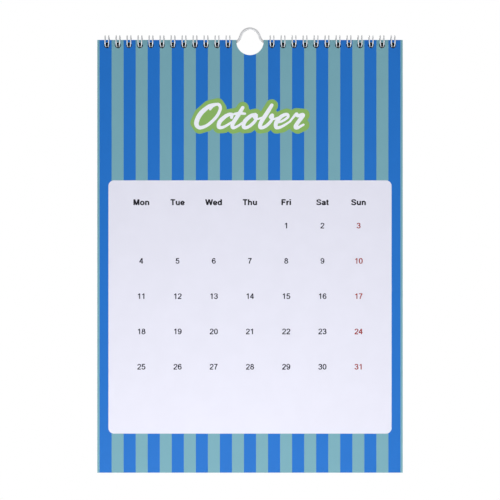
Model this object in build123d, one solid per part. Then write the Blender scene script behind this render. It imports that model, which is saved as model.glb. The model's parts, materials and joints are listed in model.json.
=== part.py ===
"""Wire-bound wall calendar with a bent wire hanger, upright as it hangs.

X is the width, -Y is the printed front and +Z is up. The origin is where the nail bears, under the
top of the hanger's arch and in the middle of its wire. All lengths are millimetres.
"""

import os
from math import atan2, cos, degrees, radians, sin, tan

from build123d import *

# Paper and board
PAGE_WIDTH = 235.0
PAGE_HEIGHT = 333.0
LEAF_COUNT = 12
LEAF_THICKNESS = 0.15
BOARD_THICKNESS = 0.7
BOARD_GAP = 0.3
INK_THICKNESS = 0.06

# Row of punched holes and the round thumb cut between them
HOLE_PITCH = 25.4 / 3
HOLE_PLACES_EACH_SIDE = 13
HOLES_LEFT_OUT_EACH_SIDE = 1
HOLE_DIAMETER = 4.4
HOLE_SIDES = 12
HOLE_BELOW_EDGE = 4.15
THUMB_CUT_RADIUS = 10.5
THUMB_CUT_BELOW_EDGE = 1.2

# Double loop wire
LOOP_OUTER_DIAMETER = 9.4
LOOP_WIRE = 0.9
LOOP_CENTRE_BELOW_EDGE = 1.0
LOOP_CENTRE_BEHIND_STACK_FRONT = 1.6
FINGER_WIDTH_AT_ROOT = 3.1
FINGER_WIDTH_AT_FRONT = 2.8
FINGER_WIDTH_AT_TIP = 1.8
LINK_CORNER = 0.8
WIRE_SIDES = 6

# Angles along a loop: 0 is its front, 90 its lowest point and -90 its top
ROOT_ANGLE = -230.0
TIP_ANGLE = 100.0
NARROWING_ENDS_AT = 90.0
STEPS_ROOT_TO_FRONT = 6
STEPS_FRONT_TO_TIP = 4

# Bent wire hanger
HANGER_WIRE = 2.0
HANGER_LENGTH = 150.0
ARCH_RADIUS = 7.4
ARCH_ABOVE_EDGE = 9.9
ARCH_SHOULDER_ANGLE = 22.0
FOOT_RADIUS = 5.0
ROD_BELOW_EDGE = 1.7
ROD_BEHIND_LOOP_CENTRE = 2.4

# Printed fields
STRIPE_COUNT = 13
STRIPE_WIDTH = 9.26
PANEL_WIDTH = 217.8
PANEL_HEIGHT = 194.8
PANEL_BELOW_EDGE = 108.1
PANEL_CORNER = 4.2

# Field round the month's title. It keeps a margin round strokes that are given, letter by letter, as points
# across and up in shares of a small letter's height, before the letters are stretched and slanted
TITLE_BASELINE_BELOW_EDGE = 67.8
TITLE_LETTER_HEIGHT = 11.0
TITLE_STRETCH = 1.15
TITLE_SLANT = 24.0
TITLE_MARGIN = 4.8
TITLE_CORNER_SIDES = 16
TITLE_STROKES = [
    [(0.11, 0.98), (0.11, 0.36), (0.42, 0.03), (0.84, 0.20), (1.16, 0.78), (1.18, 1.36), (0.90, 1.66),
     (0.42, 1.50), (0.11, 0.98)],
    [(2.03, 0.94), (1.74, 0.86), (1.50, 0.44), (1.60, 0.06), (1.89, 0.08), (2.26, 0.42)],
    [(2.52, 1.40), (2.35, 0.32), (2.46, 0.03), (2.70, 0.12)],
    [(2.22, 0.98), (2.82, 1.00)],
    [(3.48, 0.93), (3.22, 0.84), (3.01, 0.44), (3.11, 0.06), (3.39, 0.09), (3.63, 0.50)],
    [(4.22, 1.58), (4.14, 1.05), (4.03, 0.40), (4.12, 0.04), (4.39, 0.10), (4.61, 0.52), (4.52, 0.88)],
    [(5.52, 0.76), (5.38, 0.94), (5.10, 0.80), (4.96, 0.38), (5.10, 0.04), (5.40, 0.10), (5.78, 0.46)],
    [(5.94, 0.96), (6.40, 0.92), (6.31, 0.54), (6.23, 0.12), (6.38, 0.03), (6.66, 0.22)],
]

# Places that follow from the sizes above
PAGE_TOP = HANGER_WIRE - ARCH_ABOVE_EDGE
ROD_Z = PAGE_TOP - ROD_BELOW_EDGE
LOOP_Y = -ROD_BEHIND_LOOP_CENTRE
LOOP_Z = PAGE_TOP - LOOP_CENTRE_BELOW_EDGE
LOOP_RADIUS = (LOOP_OUTER_DIAMETER - LOOP_WIRE) / 2
STACK_FRONT = LOOP_Y - LOOP_CENTRE_BEHIND_STACK_FRONT
STACK_THICKNESS = LEAF_COUNT * LEAF_THICKNESS
STACK_BACK = STACK_FRONT + STACK_THICKNESS
BOARD_FRONT = STACK_BACK + BOARD_GAP
HOLE_Z = PAGE_TOP - HOLE_BELOW_EDGE
THUMB_CUT_Z = PAGE_TOP - THUMB_CUT_BELOW_EDGE


def hole_centres(side):
    """X of each punched hole on one side of the thumb cut: side is -1 for left and 1 for right."""
    first = HOLES_LEFT_OUT_EACH_SIDE + 1
    return [side * n * HOLE_PITCH for n in range(first, HOLE_PLACES_EACH_SIDE + 1)]


def upright(sketch, front, thickness):
    """A sketch drawn in X and Z, given its thickness from its front face towards the wall."""
    face_plane = Plane(origin=(0, front, 0), x_dir=(1, 0, 0), z_dir=(0, -1, 0))
    return extrude(face_plane * sketch, amount=-thickness)


def page_outline():
    """The page, which the leaves and the board share: a rectangle with its holes and thumb cut."""
    outline = Pos(0, PAGE_TOP - PAGE_HEIGHT / 2) * Rectangle(PAGE_WIDTH, PAGE_HEIGHT)
    outline -= Pos(0, THUMB_CUT_Z) * Circle(THUMB_CUT_RADIUS)
    hole = RegularPolygon(HOLE_DIAMETER / 2, HOLE_SIDES, major_radius=False)
    outline -= [Pos(x, HOLE_Z) * hole for side in (-1, 1) for x in hole_centres(side)]
    return outline


def panel_outline():
    """The pale field that carries the dates."""
    middle = PAGE_TOP - PANEL_BELOW_EDGE - PANEL_HEIGHT / 2
    return Pos(0, middle) * RectangleRounded(PANEL_WIDTH, PANEL_HEIGHT, PANEL_CORNER)


def title_point(across, up):
    """Where a point of the title's strokes lies on the page, with the word's middle over the page's."""
    widths = [x + y * tan(radians(TITLE_SLANT)) / TITLE_STRETCH for stroke in TITLE_STROKES for x, y in stroke]
    leaning = across + up * tan(radians(TITLE_SLANT)) / TITLE_STRETCH
    x = (leaning - (min(widths) + max(widths)) / 2) * TITLE_LETTER_HEIGHT * TITLE_STRETCH
    return x, PAGE_TOP - TITLE_BASELINE_BELOW_EDGE + up * TITLE_LETTER_HEIGHT


def margin_round(start, end):
    """The margin round one straight run of a stroke: two regular shapes at its ends and all between them."""
    heading = degrees(atan2(end[1] - start[1], end[0] - start[0]))
    step = 360 / TITLE_CORNER_SIDES
    corners = []
    for (x, y), facing in ((start, heading + 180), (end, heading)):
        first = round((facing - 90) / step)
        last = round((facing + 90) / step)
        for n in range(first, last + 1):
            turn = radians(n * step)
            corners.append((x + TITLE_MARGIN * cos(turn), y + TITLE_MARGIN * sin(turn)))
    return Polygon(*corners, align=None)


def title_outline():
    """The field round the month's title: one edge all round the word, and nothing left open inside."""
    runs = []
    for stroke in TITLE_STROKES:
        places = [title_point(across, up) for across, up in stroke]
        runs += [margin_round(start, end) for start, end in zip(places, places[1:])]
    field = Sketch() + runs
    return make_face(field.face().outer_wire().edges())


def stripe_outline():
    """The darker stripes, left open under the title and the dates."""
    middle = PAGE_TOP - PAGE_HEIGHT / 2
    bars = [
        Pos((n - (STRIPE_COUNT - 1) / 2) * 2 * STRIPE_WIDTH, middle) * Rectangle(STRIPE_WIDTH, PAGE_HEIGHT)
        for n in range(STRIPE_COUNT)
    ]
    stripes = Sketch() + bars
    return (stripes & page_outline()) - panel_outline() - title_outline()


def printed(outline):
    """A field of ink lying on the front leaf."""
    return upright(outline, STACK_FRONT - INK_THICKNESS, INK_THICKNESS)


def finger_half_width(angle):
    """Half the distance between a finger's two wires, at an angle along the loop."""
    top = -90.0
    if angle < top:
        share = (top - angle) / (top - ROOT_ANGLE)
        return (FINGER_WIDTH_AT_FRONT + share * (FINGER_WIDTH_AT_ROOT - FINGER_WIDTH_AT_FRONT)) / 2
    if angle <= 0:
        return FINGER_WIDTH_AT_FRONT / 2
    share = cos(radians(min(angle / NARROWING_ENDS_AT, 1) * 90))
    return (FINGER_WIDTH_AT_TIP + share * (FINGER_WIDTH_AT_FRONT - FINGER_WIDTH_AT_TIP)) / 2


def on_loop(x, angle):
    """A point of the wire's middle line: the loop lies round the page's top edge."""
    y = LOOP_Y - LOOP_RADIUS * cos(radians(angle))
    z = LOOP_Z - LOOP_RADIUS * sin(radians(angle))
    return Vector(x, y, z)


def finger_angles():
    """Where the straight facets of one wire meet, from its root to its tip."""
    back = [ROOT_ANGLE * (1 - n / STEPS_ROOT_TO_FRONT) for n in range(STEPS_ROOT_TO_FRONT)]
    front = [TIP_ANGLE * n / STEPS_FRONT_TO_TIP for n in range(STEPS_FRONT_TO_TIP + 1)]
    return back + front


def binding_path(centres):
    """The middle line of one double loop wire: up one side of each finger, down the other, then across."""
    link_dip = degrees(LINK_CORNER / LOOP_RADIUS)
    angles = finger_angles()
    points = []
    for x in sorted(centres):
        half_root = finger_half_width(ROOT_ANGLE)
        points.append(on_loop(x - half_root - LINK_CORNER, ROOT_ANGLE - link_dip))
        points += [on_loop(x - finger_half_width(angle), angle) for angle in angles]
        points += [on_loop(x + finger_half_width(angle), angle) for angle in reversed(angles)]
        points.append(on_loop(x + half_root + LINK_CORNER, ROOT_ANGLE - link_dip))
    return points


def faceted_wire(points, diameter, sides):
    """A wire of flat facets along straight runs, mitred where two runs meet and cut square at its ends."""
    first_run = (points[1] - points[0]).normalized()
    across = first_run.cross(Vector(0, 0, 1)).normalized()
    upward = first_run.cross(across)
    ring = [
        points[0] + across * (diameter / 2 * cos(turn)) + upward * (diameter / 2 * sin(turn))
        for turn in (radians(360 * n / sides) for n in range(sides))
    ]
    rings = [ring]
    for n in range(1, len(points)):
        run = (points[n] - points[n - 1]).normalized()
        if n < len(points) - 1:
            mitre = (run + (points[n + 1] - points[n]).normalized()).normalized()
        else:
            mitre = run
        ring = [corner + run * ((points[n] - corner).dot(mitre) / run.dot(mitre)) for corner in ring]
        rings.append(ring)
    faces = [Face(Wire.make_polygon(rings[0])), Face(Wire.make_polygon(rings[-1]))]
    for here, there in zip(rings, rings[1:]):
        for n in range(sides):
            after = (n + 1) % sides
            faces.append(Face(Wire.make_polygon([here[n], here[after], there[after], there[n]])))
    return Solid(Shell(faces))


def hanger_path():
    """The hanger's middle line: a rod through the loops, rising into an arch at the thumb cut."""
    arch_top = HANGER_WIRE / 2
    arch_centre = arch_top - ARCH_RADIUS
    shoulder = radians(ARCH_SHOULDER_ANGLE)
    shoulder_x = ARCH_RADIUS * cos(shoulder)
    shoulder_z = arch_centre + ARCH_RADIUS * sin(shoulder)
    foot_x = shoulder_x + (shoulder_z - ROD_Z) * tan(shoulder)
    setback = FOOT_RADIUS * tan((radians(90) - shoulder) / 2)
    leg_end = (foot_x - setback * sin(shoulder), ROD_Z + setback * cos(shoulder))
    rod_start = (foot_x + setback, ROD_Z)
    foot_centre_z = ROD_Z + FOOT_RADIUS
    middle = radians(90 + (90 - ARCH_SHOULDER_ANGLE) / 2)
    foot_middle = (rod_start[0] + FOOT_RADIUS * cos(middle), foot_centre_z - FOOT_RADIUS * sin(middle))
    points = {
        "rod_end": (HANGER_LENGTH / 2, ROD_Z),
        "rod_start": rod_start,
        "foot_middle": foot_middle,
        "leg_end": leg_end,
        "shoulder": (shoulder_x, shoulder_z),
    }
    at = {name: Vector(x, 0, z) for name, (x, z) in points.items()}
    other = {name: Vector(-x, 0, z) for name, (x, z) in points.items()}
    return Wire(
        [
            Edge.make_line(other["rod_end"], other["rod_start"]),
            Edge.make_three_point_arc(other["rod_start"], other["foot_middle"], other["leg_end"]),
            Edge.make_line(other["leg_end"], other["shoulder"]),
            Edge.make_three_point_arc(other["shoulder"], Vector(0, 0, arch_top), at["shoulder"]),
            Edge.make_line(at["shoulder"], at["leg_end"]),
            Edge.make_three_point_arc(at["leg_end"], at["foot_middle"], at["rod_start"]),
            Edge.make_line(at["rod_start"], at["rod_end"]),
        ]
    )


def hanger():
    """One length of round wire, bent in a plane."""
    path = hanger_path()
    start = path.position_at(0)
    section = Plane(origin=start, z_dir=path.tangent_at(0)) * Circle(HANGER_WIRE / 2)
    return sweep(section, path=path)


def main():
    os.makedirs("parts", exist_ok=True)
    nodes = {
        "month_sheets": upright(page_outline(), STACK_FRONT, STACK_THICKNESS),
        "back_board": upright(page_outline(), BOARD_FRONT, BOARD_THICKNESS),
        "blue_stripes": printed(stripe_outline()),
        "date_panel": printed(panel_outline()),
        "title_plate": printed(title_outline()),
        "wire_left": faceted_wire(binding_path(hole_centres(-1)), LOOP_WIRE, WIRE_SIDES),
        "wire_right": faceted_wire(binding_path(hole_centres(1)), LOOP_WIRE, WIRE_SIDES),
        "hanger": hanger(),
    }
    for name, shape in nodes.items():
        export_step(shape, f"parts/{name}.step")


main()
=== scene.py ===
"""Looks of a wire-bound wall calendar: paper, print, lettering, wires and the stage it is seen on.

All lengths are metres, in the packed model's frame: X is the width, -Y the printed front and +Z up.
"""

import json
from math import cos, pi, radians, sin, tan

import bpy
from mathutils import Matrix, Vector
from mathutils.geometry import delaunay_2d_cdt


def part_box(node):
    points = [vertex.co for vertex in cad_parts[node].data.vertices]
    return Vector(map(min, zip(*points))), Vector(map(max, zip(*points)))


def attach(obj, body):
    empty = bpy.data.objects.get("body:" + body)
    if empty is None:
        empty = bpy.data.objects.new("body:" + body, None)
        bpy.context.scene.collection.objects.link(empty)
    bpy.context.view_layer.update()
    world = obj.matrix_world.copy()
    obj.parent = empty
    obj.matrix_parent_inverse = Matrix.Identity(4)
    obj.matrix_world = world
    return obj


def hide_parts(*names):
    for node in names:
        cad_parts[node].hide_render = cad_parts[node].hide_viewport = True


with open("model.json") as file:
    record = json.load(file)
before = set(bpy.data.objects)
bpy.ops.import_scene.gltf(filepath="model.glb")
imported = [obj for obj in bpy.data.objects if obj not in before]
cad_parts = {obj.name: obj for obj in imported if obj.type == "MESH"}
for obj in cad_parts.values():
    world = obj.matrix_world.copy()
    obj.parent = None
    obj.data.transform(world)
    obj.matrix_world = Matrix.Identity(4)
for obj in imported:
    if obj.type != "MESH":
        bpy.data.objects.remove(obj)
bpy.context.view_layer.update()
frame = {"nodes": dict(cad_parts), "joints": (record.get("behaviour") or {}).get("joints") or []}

bl_info = {
    "name": "Wire-bound wall calendar",
    "version": (1, 0, 0),
    "blender": (4, 5, 0),
    "location": "3D View > Sidebar > Calendar",
    "description": "Gives the packed calendar its paper, print, lettering, wires and stage",
    "category": "Object",
}

MM = 0.001

# Places read from the packed model
LEAVES_LOW, LEAVES_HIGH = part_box("month_sheets")
BOARD_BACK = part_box("back_board")[1].y
PANEL_LOW, PANEL_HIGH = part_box("date_panel")
PLATE_LOW, PLATE_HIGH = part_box("title_plate")
HANGER_LOW, HANGER_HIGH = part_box("hanger")
WIRE_BOXES = {side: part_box(f"wire_{side}") for side in ("left", "right")}
ROD_Z = next(joint["pos_m"][2] for joint in frame["joints"] if joint["name"] == "hanger_swivel")
PAGE_TOP = LEAVES_HIGH.z
PAGE_MIDDLE = (LEAVES_LOW + LEAVES_HIGH) / 2
LEAF_FRONT = LEAVES_LOW.y

# Shape of the double loop wire that its box doesn't give. Angles along a finger's loop are 0 in front and
# -90 degrees on top
HOLE_PITCH = 25.4 * MM / 3
LOOP_CENTRE_BELOW_EDGE = 1.0 * MM
LOOP_CENTRE_BEHIND_FRONT = 1.6 * MM
LINK_CORNER = 0.8 * MM
ROOT_ANGLE = radians(-230)
TIP_ANGLE = radians(100)
TOP_ANGLE = radians(-90)
NARROWING_ENDS_AT = radians(90)

# Steps along the corner of a link, along one side of a finger and round its tip, and Blender's bevel
# resolution of the wire's round section
LINK_STEPS = 4
FINGER_STEPS = 36
TIP_STEPS = 6
WIRE_RESOLUTION = 3

# Bends of the hanger, and the rounded rims at the ends of its wire
ARCH_RADIUS = 7.4 * MM
SHOULDER_ANGLE = radians(22)
FOOT_RADIUS = 5.0 * MM
RIM_ROUNDING = 0.25 * MM

# Steps along the hanger's bends and rims, and sides of its wire
ARCH_STEPS = 24
FOOT_STEPS = 10
RIM_STEPS = 3
HANGER_SIDES = 24

# Dark discs of painted shade, one behind each hole, which stand for the shade on the wall
HOLE_Z = PAGE_TOP - 4.15 * MM
SHADE_WIDTH = 5.0 * MM
SHADE_GAP = 0.05 * MM
SHADE_SIDES = 24

# Places within SAME_PLACE of each other are one. Copies in a row meet within MEET_WITHIN, and a corner that
# near to where the hanger's wire ends lies on its rim
SAME_PLACE = 0.001 * MM
MEET_WITHIN = 0.02 * MM

# Faces of a wire that meet at less than this angle are shaded as one curve
SMOOTH_BELOW = radians(50)

# Soft lamps of the stage, which all point at the page: the place, and the length of a side
LAMPS = {
    "key": (Vector((-0.05, -0.62, PAGE_MIDDLE.z - 0.4)), 0.35),
    "side": (Vector((0.75, -0.9, 0.1)), 1.0),
    "back": (Vector((-0.2, 0.8, PAGE_MIDDLE.z - 0.1)), 0.6),
}

# Month table: seven columns, and the weekday of the first of the month counted from Monday
WEEKDAYS = ("Mon", "Tue", "Wed", "Thu", "Fri", "Sat", "Sun")
FIRST_WEEKDAY = 4
DAYS_IN_MONTH = 31

# Brush letters of the month's title. Each stroke is a run of points (across, up, pen), where across
# and up are shares of the height of a small letter and pen is a share of the full brush width.
TITLE_WORD = "October"
BRUSH_LETTERS = {
    "O": (1.42, [[
        (0.80, 1.66, 0.72), (0.42, 1.50, 0.95), (0.11, 0.98, 1.12), (0.11, 0.36, 1.10),
        (0.42, 0.03, 0.90), (0.84, 0.20, 0.76), (1.16, 0.78, 0.74), (1.18, 1.36, 0.76),
        (0.94, 1.66, 0.74), (0.68, 1.56, 0.62), (0.58, 1.30, 0.50),
    ]]),
    "c": (0.80, [[
        (0.68, 0.74, 0.74), (0.61, 0.96, 0.78), (0.32, 0.86, 0.90), (0.08, 0.44, 1.00),
        (0.18, 0.06, 0.90), (0.47, 0.08, 0.68), (0.84, 0.42, 0.50),
    ]]),
    "t": (0.72, [
        [(0.30, 1.42, 0.84), (0.23, 0.92, 0.98), (0.13, 0.32, 0.96), (0.24, 0.03, 0.84),
         (0.48, 0.12, 0.60), (0.76, 0.46, 0.50)],
        [(-0.04, 0.98, 0.58), (0.26, 1.03, 0.74), (0.60, 1.00, 0.56)],
    ]),
    "o": (0.98, [[
        (0.54, 0.95, 0.74), (0.28, 0.84, 0.90), (0.07, 0.44, 1.00), (0.17, 0.06, 0.90),
        (0.45, 0.09, 0.76), (0.69, 0.50, 0.74), (0.60, 0.92, 0.70), (0.50, 0.76, 0.50),
        (0.74, 0.62, 0.48), (1.04, 0.74, 0.48),
    ]]),
    "b": (0.98, [[
        (0.30, 1.60, 0.82), (0.22, 1.05, 0.98), (0.11, 0.40, 0.98), (0.20, 0.04, 0.86),
        (0.47, 0.10, 0.76), (0.69, 0.52, 0.74), (0.60, 0.92, 0.70), (0.50, 0.76, 0.50),
        (0.74, 0.62, 0.48), (1.04, 0.74, 0.48),
    ]]),
    "e": (0.84, [[
        (0.06, 0.36, 0.48), (0.38, 0.48, 0.56), (0.62, 0.76, 0.66), (0.48, 0.96, 0.74),
        (0.20, 0.80, 0.90), (0.06, 0.38, 1.00), (0.20, 0.04, 0.90), (0.50, 0.10, 0.66),
        (0.88, 0.46, 0.50),
    ]]),
    "r": (1.00, [[
        (0.02, 0.44, 0.48), (0.20, 0.98, 0.70), (0.34, 0.86, 0.84), (0.66, 0.92, 0.86),
        (0.57, 0.54, 0.96), (0.49, 0.12, 0.92), (0.64, 0.01, 0.76), (0.94, 0.24, 0.50),
    ]]),
}

# Drawing of the strokes. A stroke of a plain letter is thinner than its pen where it runs level: a curve
# loses the share LEVEL_THINNING there, and a bar has the share LEVEL_BAR
OVAL_POINTS = 10
SAMPLES_PER_SPAN = 8
CAP_SIDES = 14
LEVEL_THINNING = 0.22
LEVEL_BAR = 0.88


def oval(x, y, across, up):
    """Points of a closed oval stroke round x, y."""
    turns = [pi / 2 + 2 * pi * n / OVAL_POINTS for n in range(OVAL_POINTS)]
    return [(x + across * cos(turn), y + up * sin(turn)) for turn in turns] + [(x, y + up)]


# Plain letters and figures. Each has its advance and its strokes, as shares of a capital's height. A
# stroke of two points is a straight bar with level ends, and one of more points is a smooth curve.
ARCH = [
    (0.19, 0.36), (0.24, 0.56), (0.43, 0.645), (0.60, 0.57), (0.655, 0.38), (0.655, 0.16), (0.655, 0.0),
]
PLAIN_LETTERS = {
    "M": (1.16, [[(0.19, 0), (0.19, 1)], [(0.97, 0), (0.97, 1)], [(0.24, 1), (0.58, 0)],
                 [(0.92, 1), (0.58, 0)]]),
    "o": (0.853, [oval(0.427, 0.362, 0.27, 0.285)]),
    "n": (0.853, [[(0.19, 0), (0.19, 0.725)], ARCH]),
    "T": (0.853, [[(0.03, 0.912), (0.823, 0.912)], [(0.427, 0), (0.427, 0.95)]]),
    "u": (0.853, [[(0.655, 0), (0.655, 0.725)], [(0.845 - x, 0.725 - y) for x, y in ARCH]]),
    "e": (0.777, [[(0.14, 0.345), (0.66, 0.345)],
                  [(0.645, 0.31), (0.61, 0.53), (0.39, 0.645), (0.20, 0.56), (0.135, 0.36), (0.20, 0.16),
                   (0.39, 0.075), (0.55, 0.105), (0.65, 0.20)]]),
    "W": (1.318, [[(0.11, 1), (0.36, 0)], [(0.36, 0), (0.66, 1)], [(0.66, 1), (0.96, 0)],
                  [(0.96, 0), (1.21, 1)]]),
    "d": (0.853, [[(0.665, 0), (0.665, 1)], oval(0.40, 0.362, 0.25, 0.285)]),
    "h": (0.853, [[(0.19, 0), (0.19, 1)], ARCH]),
    "F": (0.853, [[(0.20, 0), (0.20, 1)], [(0.20, 0.912), (0.80, 0.912)], [(0.20, 0.50), (0.72, 0.50)]]),
    "r": (0.543, [[(0.19, 0), (0.19, 0.725)], [(0.19, 0.38), (0.24, 0.57), (0.36, 0.645), (0.50, 0.625)]]),
    "i": (0.388, [[(0.194, 0), (0.194, 0.725)], [(0.194, 0.83), (0.194, 1)]]),
    "S": (0.932, [[(0.78, 0.71), (0.70, 0.86), (0.46, 0.915), (0.23, 0.85), (0.18, 0.71), (0.28, 0.58),
                   (0.48, 0.52), (0.70, 0.44), (0.78, 0.28), (0.69, 0.14), (0.46, 0.08), (0.22, 0.14),
                   (0.13, 0.30)]]),
    "a": (0.777, [[(0.15, 0.52), (0.22, 0.61), (0.38, 0.645), (0.55, 0.60), (0.60, 0.46), (0.60, 0.18),
                   (0.64, 0.0)],
                  [(0.60, 0.42), (0.40, 0.375), (0.21, 0.31), (0.15, 0.19), (0.23, 0.09), (0.37, 0.075),
                   (0.53, 0.14), (0.60, 0.26)]]),
    "t": (0.465, [[(0.225, 0.25), (0.225, 0.93)], [(0.04, 0.655), (0.43, 0.655)],
                  [(0.225, 0.30), (0.24, 0.14), (0.32, 0.085), (0.44, 0.09)]]),
    "0": (0.777, [[(0.388, 0.945), (0.58, 0.83), (0.652, 0.5), (0.58, 0.17), (0.388, 0.055), (0.196, 0.17),
                   (0.124, 0.5), (0.196, 0.83), (0.388, 0.945)]]),
    "1": (0.777, [[(0.457, 0), (0.457, 1)], [(0.45, 0.97), (0.33, 0.84), (0.16, 0.745)]]),
    "2": (0.777, [[(0.13, 0.70), (0.20, 0.87), (0.38, 0.94), (0.59, 0.87), (0.64, 0.70), (0.55, 0.52),
                   (0.35, 0.33), (0.19, 0.19), (0.10, 0.07)], [(0.04, 0.058), (0.69, 0.058)]]),
    "3": (0.777, [[(0.12, 0.74), (0.21, 0.89), (0.37, 0.94), (0.56, 0.88), (0.61, 0.74), (0.54, 0.59),
                   (0.32, 0.535)],
                  [(0.32, 0.535), (0.57, 0.48), (0.65, 0.29), (0.56, 0.11), (0.36, 0.055), (0.19, 0.12),
                   (0.11, 0.27)]]),
    "4": (0.777, [[(0.515, 0), (0.515, 1)], [(0.03, 0.295), (0.71, 0.295)], [(0.50, 1), (0.09, 0.30)]]),
    "5": (0.777, [[(0.19, 0.94), (0.65, 0.94)], [(0.215, 0.97), (0.15, 0.46)],
                  [(0.14, 0.50), (0.25, 0.59), (0.41, 0.61), (0.58, 0.52), (0.645, 0.33), (0.57, 0.12),
                   (0.36, 0.055), (0.18, 0.12), (0.11, 0.26)]]),
    "6": (0.777, [[(0.63, 0.75), (0.55, 0.89), (0.41, 0.945), (0.21, 0.83), (0.125, 0.50), (0.18, 0.20),
                   (0.38, 0.055), (0.58, 0.14), (0.645, 0.33), (0.58, 0.52), (0.40, 0.60), (0.22, 0.53),
                   (0.14, 0.36)]]),
    "7": (0.777, [[(0.06, 0.94), (0.69, 0.94)], [(0.64, 0.92), (0.46, 0.66), (0.33, 0.34), (0.275, 0)]]),
    "8": (0.777, [oval(0.388, 0.742, 0.20, 0.198), oval(0.388, 0.30, 0.262, 0.243)]),
    "9": (0.777, [[(0.147, 0.25), (0.227, 0.11), (0.367, 0.055), (0.567, 0.17), (0.652, 0.50),
                   (0.597, 0.80), (0.397, 0.945), (0.197, 0.86), (0.132, 0.67), (0.197, 0.48),
                   (0.377, 0.40), (0.557, 0.47), (0.637, 0.64)]]),
}

# Films of ink: their thickness, and how far behind the leaves' front a point still counts as printed
INK_FILM = 0.02 * MM
PRINT_DEPTH = 0.03 * MM

# Most values of a noise lie between these
NOISE_LOW = 0.3
NOISE_HIGH = 0.7

# Outlines of the ink. Corners nearer than UNION_TOLERANCE (m) are one while strokes are united, and nearer
# than INK_MERGE afterwards. Shapes under SMALLEST_AREA (m2) are left out, and faces that meet at less than
# FLAT_BELOW are joined. TRIANGLES is Blender's number for a union that comes as triangles
UNION_TOLERANCE = 1e-7
INK_MERGE = 0.007 * MM
SMALLEST_AREA = 1e-12
FLAT_BELOW = radians(0.5)
TRIANGLES = 0


def linear(colour):
    """A colour written as sRGB hex, such as "#8fb0c4", as linear red, green, blue and alpha."""
    channels = [int(colour[n:n + 2], 16) / 255 for n in (1, 3, 5)]
    return [c / 12.92 if c <= 0.04045 else ((c + 0.055) / 1.055) ** 2.4 for c in channels] + [1.0]


def colour_property(name, description, colour):
    """A colour that the user can change, given as sRGB hex."""
    return bpy.props.FloatVectorProperty(
        name=name, description=description, default=linear(colour), size=4, min=0, max=1, subtype="COLOR"
    )


def number_property(name, description, number, **limits):
    """A number that the user can change, with its limits and its unit or subtype."""
    return bpy.props.FloatProperty(name=name, description=description, default=number, **limits)


def length_property(name, description, length):
    """A length that the user can change, in metres."""
    return number_property(name, description, length, min=0, precision=5, unit="LENGTH")


def power_property(name, description, power):
    """The power of a lamp, which the user can change, in watts."""
    return number_property(name, description, power, min=0, unit="POWER")


class CalendarPaper(bpy.types.PropertyGroup):
    """Paper, board and the colours printed on them."""

    ground: colour_property("Ground", "Grey teal printed between the stripes", "#74a5b2")
    stripe: colour_property("Stripe", "Blue of the darker stripes", "#186dc4")
    panel: colour_property("Panel", "Pale lavender field under the dates", "#e2e2f0")
    plate: colour_property("Title plate", "Lime field round the title", "#88b360")
    paper: colour_property("Paper", "Bare white paper at the edges and backs", "#eeece6")
    board: colour_property("Board", "Grey board behind the leaves", "#a8a296")
    fleck: colour_property("Fleck", "Darker fibres in the grey board", "#7f786c")
    # The seam colour is painted shade between the edges of two leaves
    seam: colour_property("Seam", "Shade between the edges of two leaves", "#a9a69e")
    seam_share: number_property("Seam share", "Share of a leaf's edge in that shade", 0.2, min=0, max=1)
    leaf_thickness: length_property("Leaf", "Thickness of one leaf", 0.15 * MM)
    mottle: length_property("Mottle", "Size of the cloudiness in the printed ink", 14 * MM)
    tooth: length_property("Tooth", "Grain of the coated paper", 0.7 * MM)


class CalendarLettering(bpy.types.PropertyGroup):
    """Sizes, places and inks of the lettering."""

    black: colour_property("Black", "Ink of the weekdays", "#0c0a17")
    grey: colour_property("Grey", "Ink of the dates", "#1d1b2e")
    red: colour_property("Red", "Ink of the Sundays", "#963231")
    white: colour_property("White", "Paper left bare in the title", "#eef1fa")
    column_step: length_property("Column step", "Distance between two weekdays", 27.86 * MM)
    row_step: length_property("Row step", "Distance between two weeks", 27.15 * MM)
    weekday_drop: length_property("Weekday drop", "Panel's top to the weekdays' baseline", 19.0 * MM)
    first_row_drop: length_property("First row drop", "Panel's top to the first week's middle", 34.77 * MM)
    weekday_height: length_property("Weekday height", "Height of a weekday's capital", 4.45 * MM)
    date_height: length_property("Date height", "Height of a date's figures", 4.2 * MM)
    bold: number_property("Bold", "Stroke of the weekdays as a share of their height", 0.265, min=0.02)
    regular: number_property("Regular", "Stroke of the dates as a share of their height", 0.198, min=0.02)
    title_height: length_property("Title height", "Height of a small letter of the title", 11.0 * MM)
    title_drop: length_property("Title drop", "Page's top to the title's baseline", 67.8 * MM)
    brush: length_property("Brush", "Full width of the brush that draws the title", 3.2 * MM)
    stretch: number_property("Stretch", "Width of the title's letters over their height", 1.15, min=0.5)
    slant: number_property("Slant", "Lean of the title's letters", radians(24), subtype="ANGLE")


class CalendarWires(bpy.types.PropertyGroup):
    """Binding wires and hanger."""

    steel: colour_property("Binding wire", "Silver coat of the binding wires", "#d8dadd")
    lacquer: colour_property("Hanger", "White lacquer of the hanger", "#dfe0e3")
    loop: length_property("Loop", "Outer diameter of a loop", 9.4 * MM)
    wire: length_property("Wire", "Diameter of the binding wire", 0.9 * MM)
    root_width: length_property("Root width", "Distance between a finger's wires at its root", 3.1 * MM)
    front_width: length_property("Front width", "Distance between a finger's wires in front", 2.8 * MM)
    tip_width: length_property("Tip width", "Distance between a finger's wires at its tip", 1.5 * MM)
    hanger_slack: length_property("Hanger slack", "How much thinner the wire is than its solid", 0.04 * MM)


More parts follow.
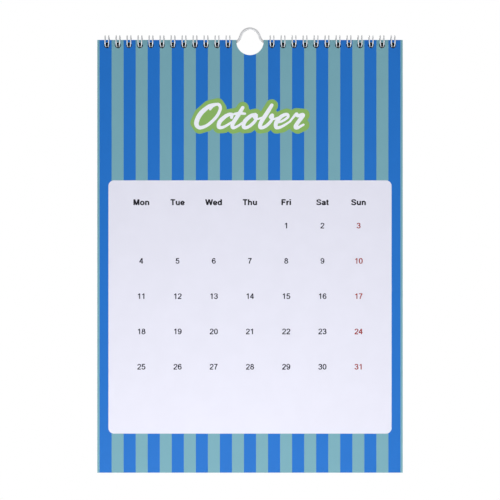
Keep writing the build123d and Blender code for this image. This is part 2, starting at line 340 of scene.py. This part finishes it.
class CalendarStage(bpy.types.PropertyGroup):
    """Camera, lamps, floor and the painted shade behind the holes."""

    view_width: length_property("View width", "Width that the picture spans at the page", 384.7 * MM)
    view_lift: length_property("View lift", "Height of the picture's middle above the page's", 4.85 * MM)
    floor_drop: length_property("Floor drop", "Page's lower edge to the floor", 450 * MM)
    floor_size: length_property("Floor size", "Length of the floor's sides", 3.0)
    floor_colour: colour_property("Floor", "White of the floor", "#f4f4f2")
    floor_glow: number_property("Floor glow", "Light that lifts the floor to the surround", 0.6, min=0)
    # The hole shade colour is painted shade, worn by the dark discs behind the holes
    hole_shade: colour_property("Hole shade", "Shade on the wall behind the holes", "#0a0a0c")
    lens: number_property("Lens", "Focal length in millimetres", 200, min=20, subtype="DISTANCE_CAMERA")
    daylight: number_property("Daylight", "Strength of the even light from all round", 0.6, min=0)
    overhead_fall: number_property(
        "Overhead fall", "Share of the even light that is missing overhead", 0.8, min=0, max=1
    )
    key_power: power_property("Key lamp", "Power of the soft lamp low in front", 3.35)
    side_power: power_property("Side lamp", "Power of the large soft lamp to the right", 1.8)
    back_power: power_property("Back lamp", "Power of the soft lamp behind the board", 3.0)


def add_node(tree, kind, inputs=None, **settings):
    """Adds one node. Settings are its own properties, and inputs gives sockets a value or a link."""
    node = tree.nodes.new(kind)
    for name, value in settings.items():
        setattr(node, name, value)
    feed(tree, node, inputs or {})
    return node


def feed(tree, node, inputs):
    """Gives each named socket of a node a value, or a link from another node's output."""
    for name, value in inputs.items():
        if isinstance(value, bpy.types.NodeSocket):
            tree.links.new(value, node.inputs[name])
        else:
            node.inputs[name].default_value = value


def new_material(name, **constants):
    """A new material with constants on its Principled shader, and with it its tree and that shader."""
    material = bpy.data.materials.new(name)
    material.use_nodes = True
    tree = material.node_tree
    shader = tree.nodes["Principled BSDF"]
    feed(tree, shader, {socket.replace("_", " "): value for socket, value in constants.items()})
    return material, tree, shader


def noise(tree, size, detail=2.0):
    """Noise whose lumps are about size metres across, in the piece's own space."""
    place = add_node(tree, "ShaderNodeTexCoord")
    return add_node(
        tree,
        "ShaderNodeTexNoise",
        {"Vector": place.outputs["Object"], "Scale": 1 / size, "Detail": detail},
    ).outputs["Fac"]


def between(tree, pattern, low, high):
    """A number that runs from low to high with a noise."""
    return add_node(
        tree,
        "ShaderNodeMapRange",
        {"Value": pattern, "From Min": NOISE_LOW, "From Max": NOISE_HIGH, "To Min": low, "To Max": high},
    ).outputs["Result"]


def shaded(tree, colour, clouds, share):
    """A colour that a noise makes lighter and darker by a share of itself."""
    gain = between(tree, clouds, 1 - share, 1 + share)
    return add_node(tree, "ShaderNodeHueSaturation", {"Value": gain, "Color": colour}).outputs["Color"]


def vary(tree, shader, colour, roughness, relief):
    """Lets patterns vary a shader: its colour by a share of itself, its roughness from a low to a high
    value, and its surface by a height in metres."""
    pattern, height = relief
    feed(tree, shader, {
        "Base Color": shaded(tree, *colour),
        "Roughness": between(tree, *roughness),
        "Normal": add_node(
            tree, "ShaderNodeBump", {"Height": pattern, "Distance": height, "Strength": 1.0}
        ).outputs["Normal"],
    })


def satin_coat(tree, shader, colour, paper, smoothest=0.46, roughest=0.56):
    """Clay coat that hides the fibres: faint clouds in the colour, a low even sheen and a fine tooth."""
    tooth = noise(tree, paper.tooth, 3)
    vary(
        tree,
        shader,
        colour=(colour, noise(tree, paper.mottle), 0.01),
        roughness=(tooth, smoothest, roughest),
        relief=(tooth, 0.006 * MM),
    )


def coated_print(name, colour, paper):
    """Offset ink on satin coated paper, which takes the coat's low sheen."""
    material, tree, shader = new_material(name, Specular_IOR_Level=0.18, IOR=1.5)
    satin_coat(tree, shader, list(colour), paper)
    return material


def leaf_block(paper):
    """Twelve coated leaves: teal print on the front one, white cut edges that show leaf by leaf."""
    material, tree, shader = new_material("satin_coated_leaves", Specular_IOR_Level=0.18, IOR=1.5)
    place = add_node(tree, "ShaderNodeTexCoord")
    depth = add_node(tree, "ShaderNodeSeparateXYZ", {"Vector": place.outputs["Object"]}).outputs["Y"]
    printed = add_node(
        tree, "ShaderNodeMath", {0: depth, 1: LEAF_FRONT + PRINT_DEPTH}, operation="LESS_THAN"
    ).outputs[0]
    # A darker line of painted shade tells one leaf's edge from the next. It lies inside each leaf's
    # thickness, so that the block's own back face stays clear of it
    seam = depth
    for operation, numbers in (
        ("SUBTRACT", {1: LEAF_FRONT - paper.leaf_thickness / 2}),
        ("DIVIDE", {1: paper.leaf_thickness}),
        ("FRACT", {}),
        ("LESS_THAN", {1: paper.seam_share}),
    ):
        seam = add_node(tree, "ShaderNodeMath", {0: seam, **numbers}, operation=operation).outputs[0]
    colour = list(paper.paper)
    for share, other in ((seam, paper.seam), (printed, paper.ground)):
        colour = add_node(
            tree, "ShaderNodeMix", {"Factor": share, "A": colour, "B": list(other)}, data_type="RGBA"
        ).outputs["Result"]
    satin_coat(tree, shader, colour, paper)
    return material


def grey_board(paper):
    """Recycled grey board, pressed and uncoated: matt, with darker fibres and a felt-like surface."""
    material, tree, shader = new_material("pressed_grey_board", Specular_IOR_Level=0.3, IOR=1.5)
    fibres = noise(tree, 1.1 * MM, 6)
    mixed = add_node(
        tree,
        "ShaderNodeMix",
        {"Factor": between(tree, fibres, 0, 1), "A": list(paper.fleck), "B": list(paper.board)},
        data_type="RGBA",
    ).outputs["Result"]
    vary(
        tree,
        shader,
        colour=(mixed, noise(tree, 9 * MM, 3), 0.05),
        roughness=(fibres, 0.8, 0.92),
        relief=(fibres, 0.03 * MM),
    )
    return material


def bare_paper(name, colour, paper):
    """Coated paper with no ink on it, as a letter left out of the print shows it."""
    material, tree, shader = new_material(name, Specular_IOR_Level=0.25, IOR=1.5)
    satin_coat(tree, shader, list(colour), paper, 0.42, 0.5)
    return material


def letter_ink(name, colour, paper):
    """Offset ink in fine strokes: slightly uneven cover, drier and less glossy than the paper."""
    material, tree, shader = new_material(name, Specular_IOR_Level=0.2, IOR=1.5)
    cover = noise(tree, 0.9 * MM)
    vary(
        tree,
        shader,
        colour=(list(colour), cover, 0.08),
        roughness=(cover, 0.5, 0.62),
        relief=(noise(tree, paper.tooth, 3), 0.004 * MM),
    )
    return material


def coated_wire(wires):
    """Steel wire in silver nylon: metal flakes in the coat give a sheen between plastic's and metal's."""
    material, tree, shader = new_material("silver_nylon_coated_steel", Metallic=0.3)
    wear = noise(tree, 2.5 * MM, 3)
    vary(
        tree,
        shader,
        colour=(list(wires.steel), wear, 0.06),
        roughness=(wear, 0.34, 0.42),
        relief=(noise(tree, 0.35 * MM), 0.004 * MM),
    )
    return material


def lacquered_wire(wires):
    """Steel wire dipped in white lacquer: an even glossy skin with a trace of orange peel."""
    material, tree, shader = new_material(
        "white_lacquered_steel", IOR=1.5, Specular_IOR_Level=0.2, Coat_Weight=0.05, Coat_Roughness=0.2
    )
    peel = noise(tree, 1.2 * MM, 1)
    vary(
        tree,
        shader,
        colour=(list(wires.lacquer), noise(tree, 8 * MM), 0.015),
        roughness=(peel, 0.28, 0.36),
        relief=(peel, 0.001 * MM),
    )
    return material


def give(piece, material):
    """The piece wears this material alone."""
    piece.data.materials.clear()
    piece.data.materials.append(material)


def deselect_all():
    """Starts an operation with nothing selected."""
    if bpy.context.object and bpy.context.object.mode != "OBJECT":
        bpy.ops.object.mode_set(mode="OBJECT")
    bpy.ops.object.select_all(action="DESELECT")


def make_active(piece):
    """Selects one piece alone."""
    deselect_all()
    piece.select_set(True)
    bpy.context.view_layer.objects.active = piece


def settle(piece, name, body):
    """Names a finished piece, puts its place into its mesh and lets it ride on its body."""
    make_active(piece)
    bpy.ops.object.transform_apply(location=True, rotation=True, scale=True)
    piece.name = name
    piece.data.name = name
    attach(piece, body)


def smooth(points):
    """Points along a smooth curve through the given ones, which is closed if the ends meet."""
    closed = points[0] == points[-1]
    ends = [points[-2] if closed else points[0], *points, points[1] if closed else points[-1]]
    samples = []
    for before, here, there, after in zip(ends, ends[1:], ends[2:], ends[3:]):
        for n in range(SAMPLES_PER_SPAN):
            t = n / SAMPLES_PER_SPAN
            samples.append(tuple(
                0.5 * (2 * b + (c - a) * t + (2 * a - 5 * b + 4 * c - d) * t ** 2
                       + (3 * b - a - 3 * c + d) * t ** 3)
                for a, b, c, d in zip(before, here, there, after)
            ))
    return samples + [points[-1]]


def ribbon(places, halves):
    """Triangles that cover a line of places to half a width on each side, with square ends."""
    closed = (places[0] - places[-1]).length < SAME_PLACE
    befores = [places[-2] if closed else places[0], *places]
    afters = [*places[1:], places[1] if closed else places[-1]]
    sides = []
    for before, place, after, half in zip(befores, places, afters, halves):
        run = (after - before).normalized()
        across = Vector((-run.y, run.x)) * half
        sides.append((place + across, place - across))
    shapes = []
    for (left, right), (next_left, next_right) in zip(sides, sides[1:]):
        shapes += [[left, right, next_right], [left, next_right, next_left]]
    return shapes


def bar(start, end, pen):
    """One straight bar. Its ends are level, or upright where the bar itself is level."""
    run = end - start
    if abs(run.x) > 2 * abs(run.y):
        across = Vector((0, LEVEL_BAR / 2 * pen * run.length / run.x))
    else:
        across = Vector((pen / 2 * run.length / run.y, 0))
    return [[start + across, start - across, end - across, end + across]]


def thinned(places, pen):
    """Half widths along a curved stroke of a plain letter, which is thinner where it runs level."""
    halves = []
    for before, after in zip([places[0], *places], [*places[1:], places[-1]]):
        run = (after - before).normalized()
        halves.append(pen / 2 * (1 - LEVEL_THINNING * run.x ** 2))
    return halves


def plain_line(text, x, baseline, height, pen):
    """Shapes of a word or number in plain letters, with the middle of its advance at x."""
    start = x - sum(PLAIN_LETTERS[letter][0] for letter in text) * height / 2
    shapes = []
    for letter in text:
        advance, strokes = PLAIN_LETTERS[letter]
        for stroke in strokes:
            points = stroke if len(stroke) == 2 else smooth(stroke)
            places = [Vector((start + u * height, baseline + v * height)) for u, v in points]
            if len(stroke) == 2:
                shapes += bar(*places, pen * height)
            else:
                shapes += ribbon(places, thinned(places, pen * height))
        start += advance * height
    return shapes


def brush_line(word, x, lettering):
    """Shapes of a word in slanting brush letters whose ink has its middle at x."""
    height = lettering.title_height
    width = height * lettering.stretch
    lean = height * tan(lettering.slant)
    baseline = PAGE_TOP - lettering.title_drop
    strokes, start = [], 0.0
    for letter in word:
        advance, drawn = BRUSH_LETTERS[letter]
        for points in drawn:
            samples = smooth(points)
            places = [
                Vector(((start + u) * width + v * lean, baseline + v * height)) for u, v, pen in samples
            ]
            strokes.append((places, [pen * lettering.brush / 2 for u, v, pen in samples]))
        start += advance
    reach = [place.x for places, halves in strokes for place in places]
    shift = Vector((x - (min(reach) + max(reach)) / 2, 0))
    turns = [2 * pi * n / CAP_SIDES for n in range(CAP_SIDES)]
    shapes = []
    for places, halves in strokes:
        places = [place + shift for place in places]
        shapes += ribbon(places, halves)
        for end in (0, -1):
            shapes.append([places[end] + Vector((cos(turn), sin(turn))) * halves[end] for turn in turns])
    return shapes


def signed_area(shape):
    """Area of a flat shape, below zero where its corners run clockwise."""
    return sum(a.x * b.y - b.x * a.y for a, b in zip(shape, [*shape[1:], shape[0]])) / 2


def flat_union(shapes):
    """Corners and triangles of the area that overlapping flat shapes cover together."""
    corners, faces = [], []
    for shape in shapes:
        area = signed_area(shape)
        if abs(area) < SMALLEST_AREA:
            continue
        first = len(corners)
        corners += shape if area > 0 else list(reversed(shape))
        faces.append(tuple(range(first, first + len(shape))))
    places, _, triangles, _, _, covered_by = delaunay_2d_cdt(
        corners, [], faces, TRIANGLES, UNION_TOLERANCE, True
    )
    return places, [triangle for triangle, shapes_over in zip(triangles, covered_by) if shapes_over]


def printed_film(name, shapes, back, material):
    """Flat shapes as one thin film of print that stands on the depth back and rides on the leaves."""
    places, triangles = flat_union(shapes)
    mesh = bpy.data.meshes.new(name)
    mesh.from_pydata([(p.x, back, p.y) for p in places], [], triangles)
    film = bpy.data.objects.new(name, mesh)
    bpy.context.collection.objects.link(film)
    make_active(film)
    bpy.ops.object.mode_set(mode="EDIT")
    bpy.ops.mesh.select_all(action="SELECT")
    bpy.ops.mesh.delete_loose()
    bpy.ops.mesh.select_all(action="SELECT")
    bpy.ops.mesh.remove_doubles(threshold=INK_MERGE)
    bpy.ops.mesh.dissolve_degenerate(threshold=INK_MERGE)
    bpy.ops.mesh.dissolve_limited(angle_limit=FLAT_BELOW)
    bpy.ops.object.mode_set(mode="OBJECT")
    thickness = film.modifiers.new("ink", "SOLIDIFY")
    thickness.thickness = INK_FILM
    thickness.offset = 1
    bpy.ops.object.modifier_apply(modifier="ink")
    give(film, material)
    settle(film, name, "sheets")


def finger_half_width(angle, wires):
    """Half the distance between a finger's two wires, at an angle along its loop."""
    if angle < TOP_ANGLE:
        share = (TOP_ANGLE - angle) / (TOP_ANGLE - ROOT_ANGLE)
        return (wires.front_width + share * (wires.root_width - wires.front_width)) / 2
    share = min(max(angle / NARROWING_ENDS_AT, 0), 1)
    return (wires.tip_width + cos(share * pi / 2) * (wires.front_width - wires.tip_width)) / 2


def loop_radius(wires):
    """Radius of the wire's middle line on its way round the page's top edge."""
    return (wires.loop - wires.wire) / 2


def on_loop(x, angle, wires):
    """A point of the wire's middle line, on the loop round the page's top edge."""
    radius = loop_radius(wires)
    y = LEAF_FRONT + LOOP_CENTRE_BEHIND_FRONT - radius * cos(angle)
    z = PAGE_TOP - LOOP_CENTRE_BELOW_EDGE - radius * sin(angle)
    return Vector((x, y, z))


def finger_places(side, wires):
    """X of one binding wire's first finger, and how many fingers it has."""
    low, high = WIRE_BOXES[side]
    finger_width = 2 * (finger_half_width(ROOT_ANGLE, wires) + LINK_CORNER)
    steps = round((high.x - low.x - finger_width) / HOLE_PITCH)
    return (low.x + high.x - steps * HOLE_PITCH) / 2, steps + 1


def finger_route(wires):
    """The middle line of one finger round x 0, from the middle of one link to the next."""
    radius = loop_radius(wires)
    dip = LINK_CORNER / radius
    half_root = finger_half_width(ROOT_ANGLE, wires)
    side = [(HOLE_PITCH / 2, ROOT_ANGLE - dip)]
    for n in range(LINK_STEPS + 1):
        turn = pi / 2 * n / LINK_STEPS
        side.append((half_root + LINK_CORNER * (1 - sin(turn)), ROOT_ANGLE - dip * cos(turn)))
    for n in range(1, FINGER_STEPS + 1):
        angle = ROOT_ANGLE + (TIP_ANGLE - ROOT_ANGLE) * n / FINGER_STEPS
        side.append((finger_half_width(angle, wires), angle))
    right = [on_loop(x, angle, wires) for x, angle in side]
    left = [Vector((-p.x, p.y, p.z)) for p in right]
    tip_half = finger_half_width(TIP_ANGLE, wires)
    tip = [
        on_loop(tip_half * cos(turn), TIP_ANGLE + tip_half / radius * sin(turn), wires)
        for turn in (pi * n / TIP_STEPS for n in range(1, TIP_STEPS))
    ]
    return left + list(reversed(tip)) + list(reversed(right))


def repeat_along_x(piece, count, step):
    """Repeats the active piece in a row, and merges the ends that meet."""
    copies = piece.modifiers.new("row", "ARRAY")
    copies.count = count
    copies.use_relative_offset = False
    copies.use_constant_offset = True
    copies.constant_offset_displace = (step, 0, 0)
    copies.use_merge_vertices = True
    copies.merge_threshold = MEET_WITHIN
    bpy.ops.object.modifier_apply(modifier="row")


def finger_tube(wires):
    """One finger of the binding wire as a round tube that is open in the middle of its links."""
    deselect_all()
    bpy.ops.curve.primitive_nurbs_path_add()
    path = bpy.context.object
    path.data.splines.clear()
    spline = path.data.splines.new("POLY")
    route = finger_route(wires)
    spline.points.add(len(route) - 1)
    for point, place in zip(spline.points, route):
        point.co = (*place, 1)
    path.data.bevel_depth = wires.wire / 2
    path.data.bevel_resolution = WIRE_RESOLUTION
    path.data.use_fill_caps = False
    bpy.ops.object.convert(target="MESH")
    return bpy.context.object


def pull_wire(step):
    """Carries the selected end of the hanger's wire straight on."""
    bpy.ops.mesh.extrude_region_move(TRANSFORM_OT_translate={"value": step})


def bend_wire(steps, turn, centre):
    """Carries the selected end of the hanger's wire round a centre, in the plane of the hanger."""
    bpy.ops.mesh.spin(steps=steps, angle=turn, center=centre, axis=(0, 1, 0))


def hanger_tube(wires):
    """The hanger's bent wire, open at both ends: rod, foot, leg, arch, leg, foot and rod."""
    solid_radius = (HANGER_HIGH.y - HANGER_LOW.y) / 2
    foot_turn = pi / 2 - SHOULDER_ANGLE
    arch_turn = pi - 2 * SHOULDER_ANGLE
    arch_centre = Vector((0, 0, HANGER_HIGH.z - solid_radius - ARCH_RADIUS))
    shoulder_x = ARCH_RADIUS * cos(SHOULDER_ANGLE)
    shoulder_z = arch_centre.z + ARCH_RADIUS * sin(SHOULDER_ANGLE)
    foot_x = shoulder_x + (shoulder_z - ROD_Z) * tan(SHOULDER_ANGLE)
    setback = FOOT_RADIUS * tan(foot_turn / 2)
    foot_centre = Vector((foot_x + setback, 0, ROD_Z + FOOT_RADIUS))
    leg_x = shoulder_x - foot_x + setback * sin(SHOULDER_ANGLE)
    leg_z = shoulder_z - ROD_Z - setback * cos(SHOULDER_ANGLE)
    rod_x = foot_centre.x - HANGER_HIGH.x
    deselect_all()
    bpy.ops.mesh.primitive_circle_add(
        vertices=HANGER_SIDES,
        radius=solid_radius - wires.hanger_slack / 2,
        location=(HANGER_HIGH.x, 0, ROD_Z),
        rotation=(0, pi / 2, 0),
    )
    hanger = bpy.context.object
    bpy.ops.object.transform_apply(location=True, rotation=True, scale=True)
    bpy.ops.object.mode_set(mode="EDIT")
    bpy.ops.mesh.select_all(action="SELECT")
    pull_wire((rod_x, 0, 0))
    bend_wire(FOOT_STEPS, -foot_turn, foot_centre)
    pull_wire((leg_x, 0, leg_z))
    bend_wire(ARCH_STEPS, arch_turn, arch_centre)
    pull_wire((leg_x, 0, -leg_z))
    bend_wire(FOOT_STEPS, -foot_turn, (-foot_centre.x, 0, foot_centre.z))
    pull_wire((rod_x, 0, 0))
    return hanger


def close_ends(wire):
    """Closes both ends of the hanger's wire and rounds their rims."""
    bpy.ops.mesh.select_all(action="SELECT")
    bpy.ops.mesh.remove_doubles(threshold=SAME_PLACE)
    bpy.ops.mesh.fill_holes(sides=0)
    bpy.ops.mesh.normals_make_consistent(inside=False)
    bpy.ops.mesh.select_mode(type="EDGE")
    bpy.ops.mesh.select_all(action="DESELECT")
    bpy.ops.object.mode_set(mode="OBJECT")
    for edge in wire.data.edges:
        ends = [wire.data.vertices[n].co.x for n in edge.vertices]
        edge.select = all(abs(abs(x) - HANGER_HIGH.x) < MEET_WITHIN for x in ends)
    bpy.ops.object.mode_set(mode="EDIT")
    bpy.ops.mesh.bevel(offset=RIM_ROUNDING, segments=RIM_STEPS)
    bpy.ops.object.mode_set(mode="OBJECT")


class CALENDAR_OT_leaves(bpy.types.Operator):
    """Finish the leaves and the fields printed on the front one"""

    bl_idname = "calendar.leaves"
    bl_label = "Leaves and printed fields"

    def execute(self, context):
        paper = context.scene.calendar_paper
        give(frame["nodes"]["month_sheets"], leaf_block(paper))
        for node, name, colour in (
            ("blue_stripes", "blue_offset_print", paper.stripe),
            ("date_panel", "pale_offset_print", paper.panel),
            ("title_plate", "lime_offset_print", paper.plate),
        ):
            give(frame["nodes"][node], coated_print(name, colour, paper))
        return {"FINISHED"}


class CALENDAR_OT_board(bpy.types.Operator):
    """Finish the grey board behind the leaves"""

    bl_idname = "calendar.board"
    bl_label = "Back board"

    def execute(self, context):
        give(frame["nodes"]["back_board"], grey_board(context.scene.calendar_paper))
        return {"FINISHED"}


class CALENDAR_OT_title(bpy.types.Operator):
    """Draw the month's title in brush strokes on its plate"""

    bl_idname = "calendar.title"
    bl_label = "Month's title"

    def execute(self, context):
        lettering = context.scene.calendar_lettering
        shapes = brush_line(TITLE_WORD, (PLATE_LOW.x + PLATE_HIGH.x) / 2, lettering)
        finish = bare_paper("bare_coated_paper", lettering.white, context.scene.calendar_paper)
        printed_film("title_letters", shapes, PLATE_LOW.y, finish)
        return {"FINISHED"}


class CALENDAR_OT_month(bpy.types.Operator):
    """Set the weekdays and the dates of the month on the panel"""

    bl_idname = "calendar.month"
    bl_label = "Weekdays and dates"

    def execute(self, context):
        lettering = context.scene.calendar_lettering
        paper = context.scene.calendar_paper
        panel_middle = (PANEL_LOW.x + PANEL_HIGH.x) / 2
        middle_column = (len(WEEKDAYS) - 1) / 2
        columns = [
            panel_middle + (column - middle_column) * lettering.column_step
            for column in range(len(WEEKDAYS))
        ]
        heads, weekday_dates, sundays = [], [], []
        baseline = PANEL_HIGH.z - lettering.weekday_drop
        for word, x in zip(WEEKDAYS, columns):
            heads += plain_line(word, x, baseline, lettering.weekday_height, lettering.bold)
        for day in range(1, DAYS_IN_MONTH + 1):
            row, column = divmod(day - 1 + FIRST_WEEKDAY, len(WEEKDAYS))
            middle = PANEL_HIGH.z - lettering.first_row_drop - row * lettering.row_step
            baseline = middle - lettering.date_height / 2
            date = plain_line(
                str(day), columns[column], baseline, lettering.date_height, lettering.regular
            )
            if column == len(WEEKDAYS) - 1:
                sundays += date
            else:
                weekday_dates += date
        for name, shapes, colour in (
            ("weekday_names", heads, lettering.black),
            ("weekday_dates", weekday_dates, lettering.grey),
            ("sunday_dates", sundays, lettering.red),
        ):
            finish = letter_ink(f"{name}_ink", colour, paper)
            printed_film(name, shapes, PANEL_LOW.y, finish)
        return {"FINISHED"}


class CALENDAR_OT_binding(bpy.types.Operator):
    """Bend the two lengths of double loop wire"""

    bl_idname = "calendar.binding"
    bl_label = "Binding wires"

    def execute(self, context):
        wires = context.scene.calendar_wires
        finish = coated_wire(wires)
        for side, (low, high) in WIRE_BOXES.items():
            first, count = finger_places(side, wires)
            piece = finger_tube(wires)
            repeat_along_x(piece, count, HOLE_PITCH)
            piece.location.x = first
            bpy.ops.object.transform_apply(location=True, rotation=True, scale=True)
            bpy.ops.object.mode_set(mode="EDIT")
            for end, outwards in ((low, -1), (high, 1)):
                bpy.ops.mesh.select_all(action="SELECT")
                bpy.ops.mesh.bisect(
                    plane_co=(end.x, 0, 0), plane_no=(outwards, 0, 0), use_fill=True, clear_outer=True
                )
            bpy.ops.mesh.select_all(action="SELECT")
            bpy.ops.mesh.normals_make_consistent(inside=False)
            bpy.ops.object.mode_set(mode="OBJECT")
            bpy.ops.object.shade_smooth_by_angle(angle=SMOOTH_BELOW)
            give(piece, finish)
            settle(piece, f"binding_wire_{side}", "binding")
            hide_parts(f"wire_{side}")
        return {"FINISHED"}


class CALENDAR_OT_hanger(bpy.types.Operator):
    """Bend the hanger from one length of round wire"""

    bl_idname = "calendar.hanger"
    bl_label = "Hanger"

    def execute(self, context):
        wires = context.scene.calendar_wires
        hanger = hanger_tube(wires)
        close_ends(hanger)
        bpy.ops.object.shade_smooth_by_angle(angle=SMOOTH_BELOW)
        give(hanger, lacquered_wire(wires))
        settle(hanger, "hanger_wire", "hanger")
        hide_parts("hanger")
        return {"FINISHED"}


def seen_directly(tree):
    """1 for what the camera sees straight, in a reflection or through glass, and 0 for other light."""
    path = add_node(tree, "ShaderNodeLightPath")
    seen = path.outputs["Is Camera Ray"]
    for kind in ("Is Glossy Ray", "Is Transmission Ray"):
        seen = add_node(
            tree, "ShaderNodeMath", {0: seen, 1: path.outputs[kind]}, operation="MAXIMUM"
        ).outputs[0]
    return seen


def pale_world(stage):
    """A white surround whose light on the object is plain, and falls off evenly towards the top."""
    world = bpy.data.worlds.new("pale_studio")
    world.use_nodes = True
    tree = world.node_tree
    direction = add_node(tree, "ShaderNodeTexCoord").outputs["Generated"]
    height = add_node(tree, "ShaderNodeSeparateXYZ", {"Vector": direction}).outputs["Z"]
    daylight = add_node(
        tree,
        "ShaderNodeMapRange",
        {
            "Value": height,
            "From Min": -1.0,
            "From Max": 1.0,
            "To Min": stage.daylight * (1 + stage.overhead_fall),
            "To Max": stage.daylight * (1 - stage.overhead_fall),
        },
    )
    strength = add_node(
        tree,
        "ShaderNodeMapRange",
        {"Value": seen_directly(tree), "To Min": daylight.outputs["Result"], "To Max": 1.0},
    )
    background = tree.nodes["Background"]
    feed(tree, background, {"Color": (1, 1, 1, 1), "Strength": strength.outputs["Result"]})
    bpy.context.scene.world = world


def pale_floor_finish(stage):
    """Matt white studio floor: it keeps the shadow, and its own light brings it up to the surround."""
    material, tree, shader = new_material("matt_white_floor", Roughness=0.9, Specular_IOR_Level=0.1)
    feed(tree, shader, {
        "Base Color": shaded(tree, list(stage.floor_colour), noise(tree, 200 * MM), 0.01),
        "Emission Color": (1, 1, 1, 1),
        "Emission Strength": add_node(
            tree, "ShaderNodeMath", {0: seen_directly(tree), 1: stage.floor_glow}, operation="MULTIPLY"
        ).outputs[0],
    })
    return material


def shade_behind_holes(wires, stage):
    """A small dark disc of the stage behind each hole: painted shade that stands for the shade between the
    board and the wall. The discs show only from the front, through the holes, and go where the board goes."""
    material, tree, shader = new_material("shade_on_the_wall", Roughness=1.0, Specular_IOR_Level=0.0)
    # Painted shade: a near black colour on discs that the camera sees through the holes
    feed(tree, shader, {"Base Color": list(stage.hole_shade)})
    clear = add_node(tree, "ShaderNodeBsdfTransparent")
    behind = add_node(tree, "ShaderNodeNewGeometry").outputs["Backfacing"]
    either = add_node(tree, "ShaderNodeMixShader", {0: behind, 1: shader.outputs[0], 2: clear.outputs[0]})
    tree.links.new(either.outputs[0], tree.nodes["Material Output"].inputs["Surface"])
    for side in WIRE_BOXES:
        first, count = finger_places(side, wires)
        deselect_all()
        bpy.ops.mesh.primitive_circle_add(
            vertices=SHADE_SIDES,
            radius=SHADE_WIDTH / 2,
            fill_type="NGON",
            location=(first, BOARD_BACK + SHADE_GAP, HOLE_Z),
            rotation=(pi / 2, 0, 0),
        )
        discs = bpy.context.object
        discs.name = f"wall_shade_{side}"
        bpy.ops.object.transform_apply(location=True, rotation=True, scale=True)
        repeat_along_x(discs, count, HOLE_PITCH)
        give(discs, material)
        discs.parent = frame["nodes"]["back_board"]


def soft_lamp(name, place, size, power):
    """A square soft lamp that points at the middle of the page."""
    deselect_all()
    bpy.ops.object.light_add(type="AREA", location=place)
    lamp = bpy.context.object
    lamp.name = name
    lamp.data.size = size
    lamp.data.energy = power
    lamp.rotation_euler = (PAGE_MIDDLE - place).to_track_quat("-Z", "Y").to_euler()


class CALENDAR_OT_stage(bpy.types.Operator):
    """Set the floor, the light and the camera"""

    bl_idname = "calendar.stage"
    bl_label = "Stage"

    def execute(self, context):
        scene = context.scene
        stage = scene.calendar_stage
        pale_world(stage)
        deselect_all()
        bpy.ops.mesh.primitive_plane_add(
            size=stage.floor_size, location=(0, 0, LEAVES_LOW.z - stage.floor_drop)
        )
        floor = bpy.context.object
        floor.name = "floor"
        give(floor, pale_floor_finish(stage))
        # Dark discs of painted shade behind the holes
        shade_behind_holes(scene.calendar_wires, stage)
        for name, (place, size) in LAMPS.items():
            soft_lamp(f"{name}_lamp", place, size, getattr(stage, f"{name}_power"))
        deselect_all()
        bpy.ops.object.camera_add(rotation=(pi / 2, 0, 0))
        camera = bpy.context.object
        camera.data.lens = stage.lens
        distance = stage.view_width * stage.lens / camera.data.sensor_width
        camera.location = (PAGE_MIDDLE.x, LEAF_FRONT - distance, PAGE_MIDDLE.z + stage.view_lift)
        scene.camera = camera
        scene.view_settings.view_transform = "Standard"
        return {"FINISHED"}


class CALENDAR_PT_sidebar(bpy.types.Panel):
    """Lists the calendar's pieces, sizes and colours"""

    bl_label = "Calendar"
    bl_idname = "CALENDAR_PT_sidebar"
    bl_space_type = "VIEW_3D"
    bl_region_type = "UI"
    bl_category = "Calendar"

    def draw(self, context):
        for operator in OPERATORS:
            self.layout.operator(operator.bl_idname)
        for name, group in PROPERTY_GROUPS.items():
            box = self.layout.box()
            box.label(text=group.__doc__)
            for setting in group.__annotations__:
                box.prop(getattr(context.scene, name), setting)


PROPERTY_GROUPS = {
    "calendar_paper": CalendarPaper,
    "calendar_lettering": CalendarLettering,
    "calendar_wires": CalendarWires,
    "calendar_stage": CalendarStage,
}
OPERATORS = (
    CALENDAR_OT_leaves,
    CALENDAR_OT_board,
    CALENDAR_OT_title,
    CALENDAR_OT_month,
    CALENDAR_OT_binding,
    CALENDAR_OT_hanger,
    CALENDAR_OT_stage,
)
CLASSES = (*PROPERTY_GROUPS.values(), *OPERATORS, CALENDAR_PT_sidebar)


def register():
    """Makes the settings, the operators and the panel known to Blender."""
    for each in CLASSES:
        bpy.utils.register_class(each)
    for name, group in PROPERTY_GROUPS.items():
        setattr(bpy.types.Scene, name, bpy.props.PointerProperty(type=group))


def unregister():
    """Takes them away again."""
    for name in PROPERTY_GROUPS:
        delattr(bpy.types.Scene, name)
    for each in reversed(CLASSES):
        bpy.utils.unregister_class(each)


def main():
    """Builds every piece and the stage."""
    register()
    bpy.ops.calendar.leaves()
    bpy.ops.calendar.board()
    bpy.ops.calendar.title()
    bpy.ops.calendar.month()
    bpy.ops.calendar.binding()
    bpy.ops.calendar.hanger()
    bpy.ops.calendar.stage()


if __name__ == "__main__":
    main()
